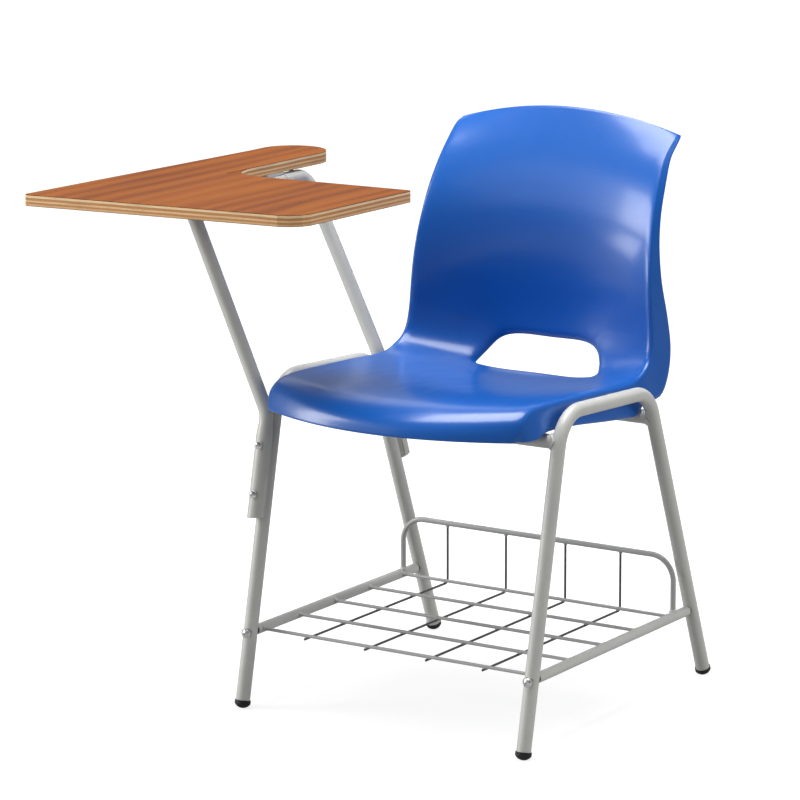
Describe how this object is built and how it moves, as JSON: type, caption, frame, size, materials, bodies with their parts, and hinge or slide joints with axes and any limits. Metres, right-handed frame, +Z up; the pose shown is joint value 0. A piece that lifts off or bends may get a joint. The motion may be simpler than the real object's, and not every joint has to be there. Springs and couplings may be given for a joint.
{
  "type": "student desk chair",
  "caption": "Student chair with a blue moulded seat shell, grey steel tube frame, wire book rack and a flip-up wood-grain writing tablet on the right-hand side",
  "frame": {"origin": "on the floor, under the middle of the whole chair's bounding box", "axes": "+Z up, the sitter faces -Y, +X is the sitter's left; the tablet is on the sitter's right, at -X"},
  "size_m": [0.6847, 0.6253, 0.764],
  "materials": {
    "shell_plastic": "satin, injection moulded",
    "frame_coat": "semi-gloss powder coat",
    "wire_coat": "semi-gloss powder coat",
    "wire_dark": "satin, darker than the frame",
    "foot_rubber": "matt moulded",
    "plug_nylon": "matt moulded",
    "zinc": "bright zinc",
    "washer_steel": "zinc plated",
    "pivot_steel": "drawn",
    "rivet": "bright",
    "washer_nylon": "matt",
    "ply": "sanded edge, clear lacquer",
    "laminate_top": "satin wood-grain laminate",
    "laminate_backing": "matt backing sheet"
  },
  "bodies": {
    "chair_frame": {"seat_shell": "shell_plastic", "seat_bosses": "shell_plastic", "seat_brackets": "frame_coat", "seat_screws": "zinc", "left_side_frame": "frame_coat", "right_side_frame": "frame_coat", "front_cross_tube": "frame_coat", "rear_cross_tube": "frame_coat", "foot_front_left": "foot_rubber", "foot_front_right": "foot_rubber", "foot_rear_left": "foot_rubber", "foot_rear_right": "foot_rubber", "rack_tube_left": "frame_coat", "rack_tube_right": "frame_coat", "rack_end_plugs": "plug_nylon", "rack_bolts": "zinc", "rack_washers": "washer_steel", "rack_cross_wires": "wire_coat", "rack_depth_wires": "wire_dark", "rack_guard": "wire_coat", "tablet_support_front": "frame_coat", "tablet_support_rear": "frame_coat", "support_bolts": "zinc", "support_washers": "washer_steel", "support_nuts": "zinc", "pivot_tube": "pivot_steel", "pivot_rivets": "rivet", "pivot_washers": "washer_nylon", "rest_arm": "frame_coat", "rest_buffer": "foot_rubber"},
    "tablet": {"tablet_crossbar": "frame_coat", "tablet_brackets": "frame_coat", "tablet_screws": "zinc", "tablet_core": "ply", "tablet_top_skin": "laminate_top", "tablet_bottom_skin": "laminate_backing", "open_buffer": "foot_rubber"}
  },
  "joints": [
    {"name": "tablet_hinge", "type": "hinge", "parent": "chair_frame", "child": "tablet", "pos_m": [-0.22535, 0.02715, 0.6615], "axis": [0, -1, 0], "range_deg": [0, 105]}
  ]
}
